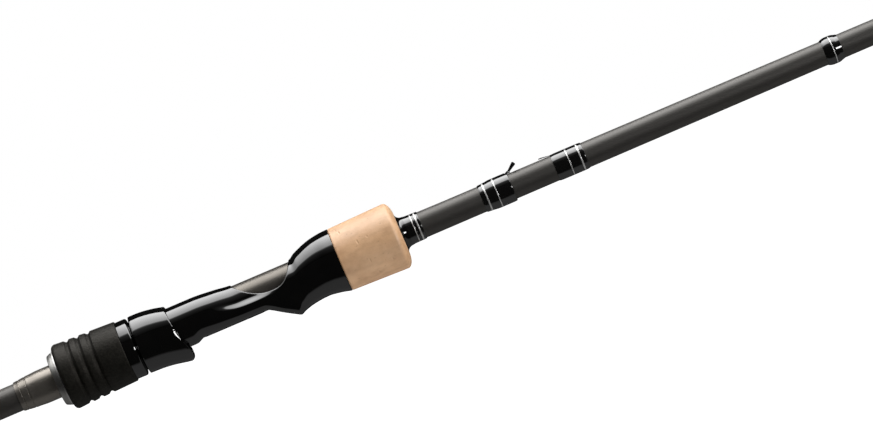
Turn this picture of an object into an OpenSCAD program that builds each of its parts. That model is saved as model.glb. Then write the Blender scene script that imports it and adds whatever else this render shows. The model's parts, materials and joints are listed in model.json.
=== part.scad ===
// Two-piece spinning rod: blank, cork and foam grips, screw-lock reel seat, folding hook keeper
// and line guides. Millimetres. +X runs along the blank from butt to tip, +Z points away from the
// reel, and the origin is the centre of the butt cap's end face.

/* [Rod] */
// Overall length, butt cap to tip-top
rod_len = 2130; // [2100:10:2150]
// Outer diameter of the blank at the butt
blank_d_butt = 12.1; // [12:0.05:12.15]
// Outer diameter of the blank in front of the fore grip
blank_d_grip = 10.95; // [10.8:0.05:11]
// Outer diameter of the butt section at the ferrule's mouth
blank_d_ferrule = 7.3; // [7.2:0.1:7.8]
// Diameter of the tip section just in front of the ferrule
tip_d_ferrule = 6.6; // [6.4:0.1:6.8]
// Diameter of the blank inside the tip-top
tip_d_end = 1.9; // [1.8:0.1:2]

/* [Ferrule] */
// Distance from the butt to the ferrule's mouth
ferrule_x = 1090; // [1080:5:1110]
// Overlap of the two sections
ferrule_overlap = 78; // [60:1:80]
// Diameter of the male end at the mouth
male_d = 5.9; // [5.7:0.1:6]

/* [Rear grip] */
// Length of the butt cap
cap_len = 16; // [14:1:18]
// Diameter of the butt cap
cap_d = 29.6; // [29:0.2:31]
// Diameter of the grip where a rod holder takes it
rear_grip_d = 26; // [25.6:0.2:26.6]
// Where the rear grip ends
rear_grip_end = 118; // [112:1:122]

/* [Reel seat] */
// Distance from the butt to the lock nut's rear face
seat_x = 230; // [226:1:245]
// Radius of the bed that the reel foot lies on, below the axis
bed_r = 7.3; // [7.2:0.05:7.4]
// Radius of the inlay that shows in the window
inlay_r = 7.4; // [7.35:0.05:7.45]
// Half width of the pockets that take the reel foot
pocket_half = 6.5; // [6:0.1:6.6]

/* [Fore grip] */
// Length of the cork fore grip
foregrip_len = 27; // [25:0.5:34]
// Diameter of the fore grip at its rear end
foregrip_d_rear = 26.5; // [26.4:0.1:27]
// Diameter of the fore grip at its front end
foregrip_d_front = 27.9; // [27.6:0.1:28.4]

/* [Hook keeper] */
// Distance from the butt to the keeper's hinge pin
keeper_x = 429.4; // [428:0.1:430]
// Angle of the keeper's arm above the blank at rest
keeper_angle = 36; // [30:1:45]
// Length of the arm from its pin
keeper_len = 4.3; // [4:0.1:5]

/* [Guides] */
// Spacing of the guides: linear part, from the tip-top back
guide_gap = 95; // [94:0.5:96]
// Spacing of the guides: how fast the gaps grow
guide_growth = 9.8; // [9.75:0.05:9.85]
// Height of a ring's centre above the blank, as a share of the ring size
guide_rise = 0.85; // [0.8:0.01:0.9]

/* [Hidden] */

$fn = 64;

// Colours
foam_color = "#24221f";
gloss_color = "#101010";
gunmetal_color = "#77706a";
cork_color = "#d9ae84";
blank_color = "#3f3c39";
silver_color = "#c9c9c9";
ceramic_color = "#2b3033";

// Gaps
glue_gap = 0.05;
slide_gap = 0.3;
ferrule_gap = 0.05;
thread_gap = 0.35;
pin_gap = 0.05;

// The blank: where its taper changes, where its parts start, and its walls
taper_x = 390;
blank_start = 4;
bore_d_butt = 9.8;
bore_d_taper = 9.2;
bore_d_front = 4.6;
tip_x = rod_len - 8;
male_taper = 0.3;
shoulder_gap = 3;
male_x = ferrule_x - ferrule_overlap;
socket_depth_x = male_x - 3;

function butt_r(x) =
    x < taper_x
    ? (blank_d_butt + (blank_d_grip - blank_d_butt) * x / taper_x) / 2
    : (blank_d_grip + (blank_d_ferrule - blank_d_grip) * (x - taper_x) / (ferrule_x - taper_x)) / 2;
function tip_r(x) =
    (tip_d_ferrule + (tip_d_end - tip_d_ferrule) * (x - ferrule_x) / (tip_x - ferrule_x)) / 2;
function rod_r(x) = x <= ferrule_x ? butt_r(x) : tip_r(x);

// Stations of the reel seat, measured forward from the lock nut's rear face
nut_ring_len = 2.9;
foam_end = 30.4;
collar_start = 30.8;
nut_len = 35.2;
hood_start = 36;
hood_len = 18.8;
body_start = 32;
body_end = 123.4;
sleeve_start = -16.4;
thread_start = 6;
thread_end = 32;
window_start = 78.8;
window_low = 94;
window_end = 104.4;
mouth_start = 88.9;
mouth_lip = 100.9;
barrel_r = 6.65;
barrel_bore_r = 6.1;
thread_pitch = 3;
thread_r = 7.8;
thread_depth = 0.5;
foregrip_x = seat_x + body_end;
check_x = foregrip_x + foregrip_len;

// ---------------------------------------------------------------- shapes that repeat

// Solid of revolution about X, from outline points [x, r]
module turned(outline) {
    rotate([0, 90, 0])
        rotate_extrude()
            polygon([for (p = outline) [p[1], p[0]]]);
}

// Sleeve that fits the butt section, from its outer outline [x, r], rear to front
module on_blank(outline) {
    x0 = outline[0][0];
    x1 = outline[len(outline) - 1][0];
    bore = [[x1, butt_r(x1) + glue_gap], [x0, butt_r(x0) + glue_gap]];
    turned(concat(outline, bore));
}

// Quarter of an ellipse from angle a0 to a1, centre (x, r), as outline points
function arc(x, r, rx, rr, a0, a1, steps = 6) =
    [for (i = [0 : steps]) let (a = a0 + (a1 - a0) * i / steps) [x + rx * cos(a), r + rr * sin(a)]];

// Smooth step between two outline points
function ease(x0, r0, x1, r1, steps = 6) =
    [for (i = [0 : steps]) [x0 + (x1 - x0) * i / steps, r0 + (r1 - r0) * (1 - cos(180 * i / steps)) / 2]];

// Skin through rings of points that lie one behind the other along +X
module loft(rings) {
    n = len(rings[0]);
    last = len(rings) - 1;
    points = [for (ring = rings) each ring];
    near = [for (i = [0 : last - 1], j = [0 : n - 1])
        [i * n + j, i * n + (j + 1) % n, (i + 1) * n + (j + 1) % n]];
    far = [for (i = [0 : last - 1], j = [0 : n - 1])
        [i * n + j, (i + 1) * n + (j + 1) % n, (i + 1) * n + j]];
    rear_cap = [[for (j = [n - 1 : -1 : 0]) j]];
    front_cap = [[for (j = [0 : n - 1]) last * n + j]];
    polyhedron(points, concat(near, far, rear_cap, front_cap));
}

// Shape cut through in Y, from side-view points [x, z]
module side_cut(outline, width) {
    rotate([90, 0, 0])
        linear_extrude(width, center = true)
            polygon(outline);
}

// Round bar between two points
module strut(p, q, d) {
    v = q - p;
    reach = norm(v);
    translate(p)
        rotate([0, acos(v[2] / reach), atan2(v[1], v[0])])
            cylinder(h = reach, d = d, $fn = 24);
}

// Right-handed ridge along X: the radius swings once per pitch around the thread's mean radius
module thread(x0, x1, grow) {
    steps = 6;
    sides = 22;
    turns = ceil((x1 - x0) / thread_pitch * steps);
    rings = [for (i = [0 : turns])
        let (x = x0 + (x1 - x0) * i / turns)
        [for (j = [0 : sides - 1])
            let (a = -360 * j / sides)
            let (r = thread_r + grow + thread_depth * cos(a - 360 * (x - seat_x) / thread_pitch))
            [x, r * cos(a), r * sin(a)]]];
    loft(rings);
}

// ---------------------------------------------------------------- rear grip

cap_round = 3;
cap_r = cap_d / 2;
grip_ring_len = 2.4;
grip_x = cap_len + grip_ring_len;
rear_grip_r = rear_grip_d / 2;
rear_grip_flat = [36, 84];
rear_check_len = 5;

module butt_cap() {
    color(foam_color)
        turned(concat(
            [[0, 0], [0, cap_r - cap_round]],
            arc(cap_round, cap_r - cap_round, cap_round, cap_round, 180, 90),
            ease(cap_round + 6, cap_r, cap_len, cap_r - 0.6),
            [[cap_len, butt_r(cap_len) + glue_gap], [blank_start, butt_r(blank_start) + glue_gap]],
            [[blank_start, 0]]
        ));
}

module butt_ring() {
    r = cap_r - 0.3;
    color(gunmetal_color)
        on_blank([[cap_len, r - 0.3], [cap_len + 0.3, r], [grip_x - 0.3, r], [grip_x, r - 0.3]]);
}

module rear_grip() {
    nose = 4;
    color(cork_color)
        on_blank(concat(
            [[grip_x, cap_r - 0.9], [grip_x + 0.5, cap_r - 0.5]],
            ease(grip_x + 5, cap_r - 0.5, rear_grip_flat[0], rear_grip_r),
            ease(rear_grip_flat[1], rear_grip_r, rear_grip_end - nose, 10.6),
            arc(rear_grip_end - nose, 8.4, nose, 2.2, 75, 0)
        ));
}

// Ring with a hollow flare, wide at its rear end, where it meets the grip
module flare(x, r_grip, r_end, length) {
    on_blank([for (i = [0 : 6]) let (a = 90 * i / 6)
        [x + length * (1 - cos(a)), r_end + (r_grip - r_end) * (1 - sin(a))]]);
}

module rear_check() {
    color(gloss_color)
        flare(rear_grip_end, 8.2, butt_r(rear_grip_end) + 0.5, rear_check_len);
}

// ---------------------------------------------------------------- thread wraps and trim

// Each band is [x, width, radius]: silver thread let into a wrap
band_depth = 0.15;
rear_wrap_x = [rear_grip_end + rear_check_len, rear_grip_end + rear_check_len + 9];
grip_wrap_x = [check_x + 2.6, check_x + 8.8];
wrap_1_x = [keeper_x - 14, keeper_x - 0.8];
wrap_2_x = [keeper_x + 17.8, keeper_x + 31];
decor_x = [keeper_x + 135, keeper_x + 142.2];
ferrule_wrap_x = [ferrule_x - 26, ferrule_x];
grip_wrap_r = 5.85;
rear_wrap_r = 6.3;
keeper_wrap_r = 6.15;
tab_wrap_r = 5.62;
decor_r = 5.8;
ferrule_wrap_r = 4.25;
bands = [
    [rear_wrap_x[0] + 3, 0.8, rear_wrap_r],
    [rear_wrap_x[0] + 5, 1, rear_wrap_r],
    [grip_wrap_x[0] + 3, 1, grip_wrap_r],
    [grip_wrap_x[0] + 4.8, 0.8, grip_wrap_r - 0.05],
    [wrap_1_x[0] + 2.2, 0.9, keeper_wrap_r - 0.3],
    [wrap_1_x[0] + 6.6, 0.7, keeper_wrap_r],
    [wrap_2_x[1] - 6.9, 0.6, tab_wrap_r],
    [wrap_2_x[1] - 2.1, 0.9, tab_wrap_r],
    [decor_x[0] + 3.8, 0.5, decor_r],
    [ferrule_wrap_x[0] + 6, 0.8, ferrule_wrap_r],
    [ferrule_wrap_x[0] + 10, 0.8, ferrule_wrap_r]
];

module band(b, spare) {
    x0 = b[0] - b[1] / 2;
    x1 = b[0] + b[1] / 2;
    turned([[x0, b[2] - band_depth], [x0, b[2] + spare], [x1, b[2] + spare], [x1, b[2] - band_depth]]);
}

module band_grooves() {
    for (b = bands)
        band(b, 1);
}

module trim_bands() {
    color(silver_color)
        difference() {
            for (b = bands)
                band(b, 0.04);
            keeper_foot(0.04);
            tab_foot(0.04);
        }
}

module rear_wrap() {
    color(gloss_color)
        difference() {
            on_blank([[rear_wrap_x[0], rear_wrap_r], [rear_wrap_x[1] - 1.5, rear_wrap_r],
                [rear_wrap_x[1], butt_r(rear_wrap_x[1]) + 0.15]]);
            band_grooves();
        }
}

module grip_wrap() {
    color(gloss_color)
        difference() {
            on_blank([[grip_wrap_x[0], grip_wrap_r + 0.2], [grip_wrap_x[0] + 2, grip_wrap_r],
                [grip_wrap_x[1] - 1, grip_wrap_r - 0.1], [grip_wrap_x[1], grip_wrap_r - 0.25]]);
            band_grooves();
        }
}

module decor_wrap() {
    middle = (decor_x[0] + decor_x[1]) / 2;
    color(gloss_color)
        difference() {
            on_blank(concat(
                ease(decor_x[0], butt_r(decor_x[0]) + 0.15, middle, decor_r),
                ease(middle + 0.8, decor_r, decor_x[1], butt_r(decor_x[1]) + 0.15)
            ));
            band_grooves();
        }
}

module ferrule_wrap() {
    color(gloss_color)
        difference() {
            on_blank([[ferrule_wrap_x[0], butt_r(ferrule_wrap_x[0]) + 0.12],
                [ferrule_wrap_x[0] + 3, ferrule_wrap_r], [ferrule_wrap_x[1] - 0.4, ferrule_wrap_r],
                [ferrule_wrap_x[1], ferrule_wrap_r - 0.3]]);
            band_grooves();
        }
}

// ---------------------------------------------------------------- blank

module butt_blank() {
    color(blank_color)
        turned([
            [blank_start, butt_r(blank_start)],
            [taper_x, butt_r(taper_x)],
            [ferrule_x, butt_r(ferrule_x)],
            [ferrule_x, male_d / 2 + ferrule_gap],
            [socket_depth_x, (male_d - male_taper) / 2 + ferrule_gap],
            [socket_depth_x, bore_d_front / 2],
            [taper_x, bore_d_taper / 2],
            [blank_start, bore_d_butt / 2]
        ]);
}

module tip_blank() {
    bore_end = rod_len - 230;
    color(blank_color)
        turned([
            [male_x, (male_d - male_taper) / 2],
            [ferrule_x + shoulder_gap, male_d / 2],
            [ferrule_x + shoulder_gap + 1, tip_r(ferrule_x + shoulder_gap + 1)],
            [tip_x, tip_r(tip_x)],
            [tip_x, 0],
            [bore_end, 0],
            [bore_end, 0.6],
            [male_x, 2.1]
        ]);
}

// ---------------------------------------------------------------- lock nut and movable hood

foam_r_rear = 13.7;
foam_slope = 0.035;
foam_grooves = [9.8, 14.2, 18.8];
foam_bore_r = 11.6;
collar_r = 12.2;
neck_r = 10.2;
neck_bore_r = 9.65;
neck_lip_r = 10.85;
neck_len = 9;

function foam_r(s) = foam_r_rear - foam_slope * (s - nut_ring_len);

module nut_ring() {
    color(gunmetal_color)
        translate([seat_x, 0, 0])
            turned([[0, 8.7], [0, 10.2], [0.3, 10.5], [2.3, 11.5], [nut_ring_len, 11.5],
                [nut_ring_len, 8.7]]);
}

module nut_foam() {
    edge = 1.8;
    groove_w = 1.1;
    groove_d = 0.85;
    color(foam_color)
        translate([seat_x, 0, 0])
            turned(concat(
                [[nut_ring_len, foam_bore_r]],
                arc(nut_ring_len + edge, foam_r(edge) - edge, edge, edge, 180, 90),
                [for (g = foam_grooves, a = [180 : -30 : 0])
                    [g + groove_w / 2 * cos(a), foam_r(g) - groove_d * sin(a)]],
                [[foam_end - 0.5, foam_r(foam_end)], [foam_end, foam_r(foam_end) - 0.4]],
                [[foam_end, foam_bore_r]]
            ));
}

module nut_core() {
    counterbore_s = 21;
    color(gloss_color)
        difference() {
            translate([seat_x, 0, 0])
                turned([
                    [nut_ring_len, 7], [nut_ring_len, foam_bore_r], [collar_start - 0.4, foam_bore_r],
                    [collar_start - 0.4, collar_r - 0.2], [collar_start, collar_r],
                    [nut_len - 0.3, collar_r], [nut_len, collar_r - 0.3],
                    [nut_len, neck_r + slide_gap], [29.1, neck_r + slide_gap],
                    [29.1, neck_lip_r + slide_gap - 0.1], [26.6, neck_lip_r + slide_gap - 0.1],
                    [26.6, neck_r + slide_gap], [counterbore_s, neck_r + slide_gap], [counterbore_s, 7]
                ]);
            thread(seat_x + 1.5, seat_x + counterbore_s + 0.6, thread_gap);
        }
}

// Sizes of the seat body at station s: crest, bed, half width and height of the widest line
function seat_top(s) =
    lookup(s, [[32, 9.3], [62, 9.3], [72, 8.6], [79, 7.8], [104.4, 7.9], [107.2, 9.5], [109.6, 10.5],
        [112, 11.4], [115, 12.25], [118, 12.8], [121, 13.1], [123.4, 13.2]]);
function seat_bottom(s) =
    lookup(s, [[32, -8.9], [57.6, -8.9], [62, -bed_r], [mouth_start, -bed_r], [mouth_lip, -14.3],
        [103.4, -13.2], [107.4, -12.15], [111.9, -11.6], [114.5, -11.5], [117, -11.8], [120, -12.35],
        [123.4, -13.2]]);
function seat_half(s) =
    lookup(s, [[32, 9.3], [66, 9.3], [76, 9.9], [84, 10.3], [90, 10.3], [96, 10.7], [103, 11.4],
        [110, 11.6], [116, 12.1], [120, 12.8], [123.4, 13.2]]);
function seat_mid(s) =
    lookup(s, [[32, 0], [66, 0], [80, -2.2], [94, -2.4], [104, -1], [114, 0]]);
function seat_pinch(s) =
    lookup(s, [[66, 0], [76, 1.3], [84, 1.9], [90, 1.5], [96, 0.6], [102, 0]]);
function seat_square(s) =
    lookup(s, [[32, 2.2], [62, 2.2], [70, 2.6], [90, 3], [96, 4.5], [101, 5], [104, 3.2], [108, 2.3],
        [123.4, 2]]);

// Cross-section of the seat body as [x, y, z] points; grow adds clearance all round
section_sides = 30;
function power_of(v, n) = sign(v) * pow(abs(v), n);
function section_point(s, a, grow) =
    let (mid = seat_mid(s))
    let (square = a > 180 ? seat_square(s) : 2)
    let (reach = a > 180 ? mid - seat_bottom(s) + grow : seat_top(s) - mid + grow)
    let (z = mid + reach * power_of(sin(a), 2 / square))
    let (pinch = seat_pinch(s) * min(1, max(0, (z - mid + 0.2) / 3.1)))
    [seat_x + s, (seat_half(s) + grow - pinch) * power_of(cos(a), 2 / square), z];
function section(s, grow = 0) =
    [for (j = [0 : section_sides - 1]) section_point(s, 360 - 360 * (j + 0.5) / section_sides, grow)];

// Lower edge of the window at station s
function window_edge(s) =
    s < window_low
    ? -0.4 + 8.4 * pow((window_low - s) / (window_low - window_start), 2.15)
    : -0.4 + 8.4 * pow((s - window_low) / (window_end - window_low), 2.9);

body_stations = [32, 45, 57.6, 60, 62, 66, 70, 74, 77, 80, 83, 86, mouth_start, 92, 94, 96, 98,
    mouth_lip, 102, 103.4, 105, 107.4, 109.6, 112, 114.5, 117, 120, 123.4];
pocket_lip_r = 12.7;
pocket_end = 112;
pocket_end_r = 10;
inlay_floor = -1.2;
inlay_span = [77, 106.5];

// Half tube that carries the inlay, and the seat that the body leaves for it
module inlay_ring(r, floor_z) {
    x0 = seat_x + inlay_span[0];
    x1 = seat_x + inlay_span[1];
    difference() {
        turned([[x0, barrel_r], [x0, r], [x1, r], [x1, barrel_r]]);
        translate([x0 - 1, -20, floor_z - 40])
            cube([x1 - x0 + 2, 40, 40]);
    }
}

module window_inlay() {
    color(gunmetal_color)
        inlay_ring(inlay_r, inlay_floor);
}

module seat_body() {
    above = 20;
    edge = [for (s = [window_start : 1.6 : window_end]) [seat_x + s, window_edge(s)]];
    color(gloss_color)
        difference() {
            loft([for (s = body_stations) section(s)]);
            // bore for the barrel
            translate([seat_x + body_start - 1, 0, 0])
                rotate([0, 90, 0])
                    cylinder(h = body_end - body_start + 2, r = barrel_r);
            inlay_ring(inlay_r, inlay_floor);
            // window
            side_cut(concat([[seat_x + window_start, above]], edge, [[seat_x + window_end, above]]), 60);
            // channel between the rear rails
            translate([seat_x + body_start - 1, -3, -above])
                cube([31, 6, above - bed_r]);
            // mouth and pocket of the fixed hood
            translate([seat_x + mouth_start - 2, -pocket_half, -above])
                cube([mouth_lip - mouth_start + 2, 2 * pocket_half, above - bed_r]);
            intersection() {
                turned([
                    [seat_x + mouth_lip - 1, 0], [seat_x + mouth_lip - 1, pocket_lip_r],
                    [seat_x + mouth_lip, pocket_lip_r], [seat_x + pocket_end, pocket_end_r],
                    [seat_x + pocket_end, 0]
                ]);
                translate([seat_x + mouth_start, -pocket_half, -above])
                    cube([40, 2 * pocket_half, above - bed_r]);
            }
        }
}

// Outer section of the movable hood at station s
hood_sides = 30;
function hood_top(s) =
    lookup(s, [[36, 12.2], [39, 12.2], [42, 12.05], [44, 11.8], [46, 11.5], [48, 11.1], [50, 10.6],
        [54.8, 9.7]]);
function hood_bottom(s) =
    lookup(s, [[36, -11.9], [42, -12.1], [44, -12.3], [46, -12.55], [48, -12.9], [52, -13.7],
        [54.8, -14.1]]);
function hood_half(s) = lookup(s, [[36, 12.1], [46, 11.6], [54.8, 11.2]]);
function hood_section(s) =
    [for (j = [0 : hood_sides - 1])
        let (a = 360 - 360 * (j + 0.5) / hood_sides)
        [seat_x + s, hood_half(s) * cos(a), (a > 180 ? -hood_bottom(s) : hood_top(s)) * sin(a)]];
hood_stations = [36, 39, 42, 44, 46, 48, 50, 52, 54.8];
// Front rim of the hood, side view: [station, z], from the crest to the lip
hood_rim = [[50.9, 14], [51.3, 9.8], [51.7, 4], [52.4, 0], [53.2, -4.3], [54.1, -7.2], [54.8, -9.4],
    [54.8, -12.6], [54, -14.5]];

module hood_cavity() {
    points = section(body_start + 5, slide_gap);
    translate([seat_x + hood_start - 1, 0, 0])
        rotate([90, 0, 90])
            linear_extrude(hood_len + 2)
                polygon([for (p = points) [p[1], p[2]]]);
    // room for the end of the reel foot
    intersection() {
        turned([[seat_x + 40, 0], [seat_x + 40, 9.4], [seat_x + 54.8, 12.7], [seat_x + 56, 12.7],
            [seat_x + 56, 0]]);
        translate([seat_x + 40, -pocket_half, -20])
            cube([20, 2 * pocket_half, 20 - bed_r]);
    }
}

module hood_shell() {
    rear = hood_start - neck_len;
    rim = [for (p = hood_rim) [seat_x + p[0], p[1]]];
    color(gloss_color) {
        difference() {
            loft([for (s = hood_stations) hood_section(s)]);
            hood_cavity();
            side_cut(concat([[seat_x + 60, 14]], rim, [[seat_x + 60, -14.5]]), 60);
        }
        // neck that the nut holds and turns on
        translate([seat_x, 0, 0])
            turned([[rear, neck_bore_r], [rear, neck_lip_r], [rear + 1.6, neck_lip_r], [rear + 1.6, neck_r],
                [hood_start, neck_r], [hood_start, neck_bore_r]]);
    }
}

// ---------------------------------------------------------------- barrel, sleeve and arbors

module seat_barrel() {
    bore_margin = 1;
    color(gunmetal_color)
        difference() {
            union() {
                thread(seat_x + thread_start, seat_x + thread_end, 0);
                translate([seat_x + thread_end - 1, 0, 0])
                    rotate([0, 90, 0])
                        cylinder(h = body_end - thread_end, r = barrel_r);
            }
            translate([seat_x + thread_start - bore_margin, 0, 0])
                rotate([0, 90, 0])
                    cylinder(h = body_end, r = barrel_bore_r);
        }
}

module seat_arbors() {
    arbor_len = 12;
    color(cork_color)
        for (s = [thread_start + 4, 50, 100])
            on_blank([[seat_x + s, barrel_bore_r - glue_gap],
                [seat_x + s + arbor_len, barrel_bore_r - glue_gap]]);
}

module rear_sleeve() {
    notch = 0.15;
    x = seat_x + sleeve_start;
    color(gunmetal_color)
        on_blank(concat(
            [[x, 6.05]],
            [for (g = [2, 4.8], p = [[-0.3, 0], [-0.1, -notch], [0.1, -notch], [0.3, 0]])
                [x + g + p[0], 6.14 + 0.1 * g + p[1]]],
            ease(x + 5.4, 6.7, x + 11, 7),
            [[seat_x + thread_start, 7]]
        ));
}

// ---------------------------------------------------------------- fore grip

module foregrip() {
    r_rear = foregrip_d_rear / 2;
    r_front = foregrip_d_front / 2;
    nose = 2.8;
    nose_r = 5.6;
    color(cork_color)
        on_blank(concat(
            [[foregrip_x, r_rear - 0.5], [foregrip_x + 0.6, r_rear]],
            arc(check_x - nose, r_front - nose_r, nose, nose_r, 90, 0)
        ));
}

module front_check() {
    color(gloss_color)
        flare(check_x, 8.2, butt_r(check_x) + 0.6, 2.6);
}

// ---------------------------------------------------------------- hook keeper

keeper_z = butt_r(keeper_x) + 0.62;
arm_half = 0.75;
ear_w = 0.5;
ear_gap = 0.1;
barrel_wall_r = 0.55;
pin_r = 0.3;

// Strip along the top of the blank from x0 to x1, with thickness t0 and t1 at its ends
module top_strip(x0, x1, t0, t1, width, gap = 0.03) {
    side_cut([[x0, butt_r(x0) + gap], [x1, butt_r(x1) + gap], [x1, butt_r(x1) + gap + t1],
        [x0, butt_r(x0) + gap + t0]], width);
}

module keeper_foot(spare = 0) {
    top_strip(wrap_1_x[0] + 2.5, keeper_x - 1.2, 0.2 + spare, 0.5 + spare, 2.4 + 2 * spare);
}

module keeper_base() {
    ear_y = arm_half + ear_gap;
    foot_z = butt_r(keeper_x) + 0.03;
    color(gloss_color)
        difference() {
            union() {
                keeper_foot();
                for (side = [-1, 1])
                    translate([0, side * (ear_y + ear_w / 2), 0])
                        side_cut([[keeper_x - 1.6, foot_z], [keeper_x + 0.6, foot_z],
                            [keeper_x + 0.5, keeper_z + 0.4], [keeper_x - 0.5, keeper_z + 0.45],
                            [keeper_x - 1.6, keeper_z - 0.1]], ear_w);
                // crosspiece that joins the two ears to the foot
                translate([keeper_x - 1.6, -(ear_y + ear_w), foot_z])
                    cube([0.7, 2 * (ear_y + ear_w), 0.5]);
            }
            translate([keeper_x, 0, keeper_z])
                rotate([90, 0, 0])
                    cylinder(h = 10, r = pin_r, center = true, $fn = 24);
        }
}

module keeper_pin() {
    color(silver_color)
        translate([keeper_x, 0, keeper_z])
            rotate([90, 0, 0])
                cylinder(h = 2 * (arm_half + ear_gap + ear_w), r = pin_r, center = true, $fn = 24);
}

module keeper_arm() {
    root_half = 0.42;
    tip_half = 0.85;
    bar_half = 1.7;
    color(gloss_color)
        translate([keeper_x, 0, keeper_z])
            rotate([0, -keeper_angle, 0])
                difference() {
                    union() {
                        rotate([90, 0, 0])
                            cylinder(h = 2 * arm_half, r = barrel_wall_r, center = true, $fn = 24);
                        side_cut([[0, -root_half], [keeper_len - 0.3, -tip_half],
                            [keeper_len, -tip_half + 0.3], [keeper_len, tip_half - 0.3],
                            [keeper_len - 0.3, tip_half], [0, root_half]], 2 * arm_half);
                        // crossbar that stops a hook from slipping off
                        side_cut([[keeper_len - 1.3, -tip_half + 0.2], [keeper_len - 0.3, -tip_half],
                            [keeper_len, -tip_half + 0.3], [keeper_len, tip_half - 0.3],
                            [keeper_len - 0.3, tip_half], [keeper_len - 1.3, tip_half - 0.2]], 2 * bar_half);
                    }
                    rotate([90, 0, 0])
                        cylinder(h = 10, r = pin_r + pin_gap, center = true, $fn = 24);
                }
}

tab_x = keeper_x + 13;
tab_len = 4.2;
tab_w = 2;

module tab_foot(spare = 0) {
    top_strip(tab_x + tab_len - 0.1, wrap_2_x[1] - 3, 0.22 + spare, 0.12 + spare, tab_w + 2 * spare);
}

module keeper_tab() {
    base = butt_r(tab_x);
    color(gloss_color) {
        tab_foot();
        side_cut([[tab_x, base + 0.3], [tab_x + tab_len, base + 0.03], [tab_x + tab_len, base + 0.25],
            [tab_x + 1.2, base + 0.68], [tab_x + 0.2, base + 0.7]], tab_w);
    }
}

module keeper_wraps() {
    color(gloss_color)
        difference() {
            union() {
                on_blank(concat(
                    [[wrap_1_x[0], butt_r(wrap_1_x[0]) + 0.12]],
                    ease(wrap_1_x[0] + 0.4, butt_r(wrap_1_x[0]) + 0.3, wrap_1_x[0] + 5.5, keeper_wrap_r),
                    [[wrap_1_x[1] - 1.6, keeper_wrap_r], [wrap_1_x[1], keeper_wrap_r - 0.4]]
                ));
                on_blank([[wrap_2_x[0], butt_r(wrap_2_x[0]) + 0.1], [wrap_2_x[0] + 1.4, tab_wrap_r],
                    [wrap_2_x[1] - 1, tab_wrap_r], [wrap_2_x[1], butt_r(wrap_2_x[1]) + 0.1]]);
            }
            band_grooves();
            keeper_foot(0.04);
            tab_foot(0.04);
            // notch around the hinge
            translate([keeper_x - 1.8, -1.6, 0])
                cube([4, 3.2, 10]);
        }
}

// ---------------------------------------------------------------- guides

ring_sizes = [0, 6, 6, 7, 8, 12, 20, 30];
two_foot_size = 16;
ring_width = 1.6;
band_wall = 0.5;
foot_w = 2.2;
foot_gap = 0.03;

function guide_x(k) = rod_len - guide_gap * k - guide_growth * k * k;
function guide_drop(k) = rod_r(guide_x(k)) + guide_rise * ring_sizes[k] + 1;
function seat_ring_r(size) = size / 2 - 0.6;
function bore_ring_r(size) = seat_ring_r(size) - 0.6 - 0.05 * size;
function leg_d(size) = 0.8 + 0.02 * size;
function base_half(size) = size > two_foot_size ? 0.45 * size + 4 : 0.35 * size + 1.5;
function foot_len(size) = 8 + 0.35 * size;

// Foot under the blank: full thickness at x0, a thin tip at x1
module guide_foot(x0, x1, spare = 0) {
    t0 = 0.7 + spare;
    t1 = 0.2 + spare;
    side_cut([[x0, -rod_r(x0) - foot_gap], [x1, -rod_r(x1) - foot_gap], [x1, -rod_r(x1) - foot_gap - t1],
        [x0, -rod_r(x0) - foot_gap - t0]], foot_w + 2 * spare);
}

// All the feet of guide k
module guide_feet(k, spare = 0) {
    x = guide_x(k);
    size = ring_sizes[k];
    inner = base_half(size);
    guide_foot(x + inner, x + inner + foot_len(size), spare);
    if (size > two_foot_size)
        guide_foot(x - inner, x - inner - foot_len(size), spare);
}

// Band that holds a ceramic ring of the given size, centred on the origin
module ring_band(size) {
    r = seat_ring_r(size);
    turned([[-ring_width / 2, r], [-ring_width / 2, r + band_wall - 0.15],
        [-ring_width / 2 + 0.15, r + band_wall], [ring_width / 2 - 0.15, r + band_wall],
        [ring_width / 2, r + band_wall - 0.15], [ring_width / 2, r]]);
}

module guide_frame(k) {
    x = guide_x(k);
    size = ring_sizes[k];
    drop = guide_drop(k);
    inner = base_half(size);
    r_band = seat_ring_r(size) + band_wall / 2;
    spread = 52;
    stagger = 7;
    ends = size > two_foot_size ? [-1, 1] : [1];
    color(silver_color)
        difference() {
            union() {
                translate([x, 0, -drop])
                    ring_band(size);
                guide_feet(k);
                for (end = ends, side = [-1, 1])
                    let (angle = spread - stagger * end)
                    strut(
                        [x + end * (inner + 0.6), side * 0.55, -rod_r(x + end * inner) - 0.5],
                        [x + end * 0.2, side * r_band * sin(angle), -drop + r_band * cos(angle)],
                        leg_d(size)
                    );
            }
            // seat of the ceramic ring
            translate([x - 3, 0, -drop])
                rotate([0, 90, 0])
                    cylinder(h = 6, r = seat_ring_r(size));
            // the blank
            turned([[x - 60, 0], [x - 60, rod_r(x - 60) + foot_gap], [x + 60, rod_r(x + 60) + foot_gap],
                [x + 60, 0]]);
        }
}

// Ceramic ring with a rounded bore that has a short straight land
module ceramic_ring(x, drop, size) {
    outer = seat_ring_r(size);
    inner = bore_ring_r(size);
    land = 0.5;
    round_x = ring_width / 2 - land;
    round_r = (outer - inner) * 0.6;
    color(ceramic_color)
        translate([x, 0, -drop])
            turned(concat(
                [[-ring_width / 2, outer]],
                arc(-land, inner + round_r, round_x, round_r, 180, 270),
                arc(land, inner + round_r, round_x, round_r, 270, 360),
                [[ring_width / 2, outer]]
            ));
}

module guide_ring(k) {
    ceramic_ring(guide_x(k), guide_drop(k), ring_sizes[k]);
}

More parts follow.
